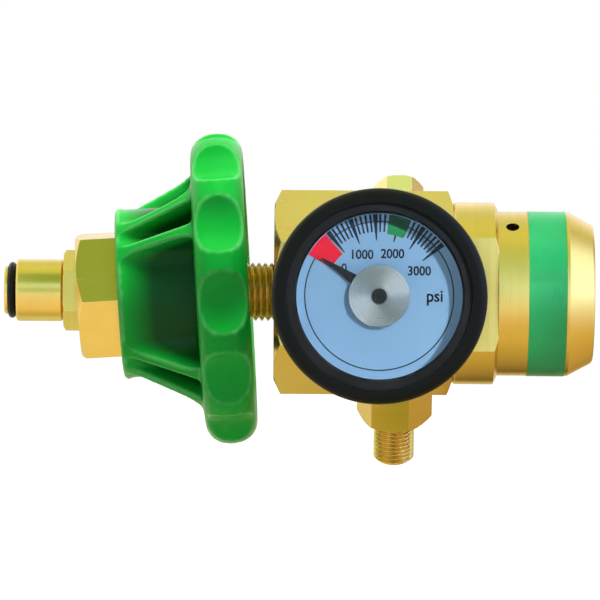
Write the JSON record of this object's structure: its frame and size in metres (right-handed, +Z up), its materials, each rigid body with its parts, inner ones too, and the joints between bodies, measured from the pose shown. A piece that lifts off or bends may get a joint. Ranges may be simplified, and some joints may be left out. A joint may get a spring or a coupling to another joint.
{
  "type": "gas cylinder pressure regulator",
  "caption": "Preset gas cylinder regulator: hand tightened inlet nut with moulded handwheel, hexagon body, booted contents gauge, relief valve, threaded outlet and round bonnet.",
  "frame": {"origin": "on the inlet axis, at the front end of the nipple nose's straight wall", "axes": "+X from the nose towards the bonnet, +Z up, and the gauge faces -Y"},
  "size_m": [0.1335, 0.0869, 0.0762],
  "materials": {
    "brass": "machined brass, fine turned lines, light satin",
    "bronze_filter": "sintered bronze grains",
    "spring_metal": "drawn spring wire",
    "coil_metal": "bronze tube",
    "seal_rubber": "black seal rubber",
    "seat_plastic": "white bearing plastic",
    "green_plastic": "moulded green plastic, soft gloss",
    "label_green": "green band with thin pale lines",
    "case_metal": "pressed steel cup",
    "dial_face": null,
    "pointer_black": "black enamel",
    "turned_disc": "faced with concentric grooves",
    "lens_clear": "clear window",
    "bezel_black": "black ring",
    "boot_rubber": "moulded rubber, satin"
  },
  "bodies": {
    "regulator": {"inlet_nipple": "brass", "nose_o_ring": "seal_rubber", "inlet_filter": "bronze_filter", "regulator_body": "brass", "valve_seat": "brass", "seat_o_ring": "seal_rubber", "poppet_spring": "spring_metal", "main_spring": "spring_metal", "spring_button": "brass", "set_screw": "brass", "bonnet": "brass", "bonnet_o_ring": "seal_rubber", "label_band": "label_green", "gauge_socket": "brass", "gauge_case": "case_metal", "bourdon_coil": "coil_metal", "dial": "dial_face", "lens": "lens_clear", "bezel_ring": "bezel_black", "gauge_boot": "boot_rubber", "relief_body": "brass", "relief_spring": "spring_metal", "relief_retainer": "brass", "outlet_fitting": "brass"},
    "washer": {"thrust_washer": "seat_plastic"},
    "nut_and_wheel": {"inlet_nut": "brass", "handwheel": "green_plastic"},
    "poppet": {"valve_poppet": "brass", "poppet_insert": "seat_plastic"},
    "piston_unit": {"piston": "brass", "piston_o_ring": "seal_rubber"},
    "pointer_unit": {"pointer_shaft": "coil_metal", "pointer": "pointer_black", "pointer_hub": "turned_disc"},
    "relief_unit": {"relief_poppet": "brass", "relief_seal": "seal_rubber"}
  },
  "joints": [
    {"name": "nut_slide", "type": "slide", "parent": "regulator", "child": "washer", "axis": [1, 0, 0], "range_m": [-0.0109, 0.0045]},
    {"name": "nut_spin", "type": "hinge", "parent": "washer", "child": "nut_and_wheel", "pos_m": [0.0347, 0, 0], "axis": [0.9979, 0, 0.0645], "continuous": true},
    {"name": "pointer_turn", "type": "hinge", "parent": "regulator", "child": "pointer_unit", "pos_m": [0.0814, -0.044, 0], "axis": [0, 1, 0], "range_deg": [0, 107.5], "stiffness_Nm_per_rad": 0.002, "springref_deg": -11.46, "deforming": ["bourdon_coil"]},
    {"name": "piston_slide", "type": "slide", "parent": "regulator", "child": "piston_unit", "axis": [1, 0, 0], "range_m": [0, 0.0008], "stiffness_N_per_m": 4000, "springref_m": -0.005, "deforming": ["main_spring"]},
    {"name": "poppet_slide", "type": "slide", "parent": "regulator", "child": "poppet", "axis": [1, 0, 0], "range_m": [0, 0.0008], "stiffness_N_per_m": 300, "springref_m": 0.003, "deforming": ["poppet_spring"]},
    {"name": "relief_slide", "type": "slide", "parent": "regulator", "child": "relief_unit", "axis": [0, 0.5, 0.866], "range_m": [0, 0.001], "stiffness_N_per_m": 1500, "springref_m": -0.003, "deforming": ["relief_spring"]}
  ],
  "couplings": [
    {"joint": "poppet_slide", "follows": "piston_slide", "ratio": 1}
  ]
}
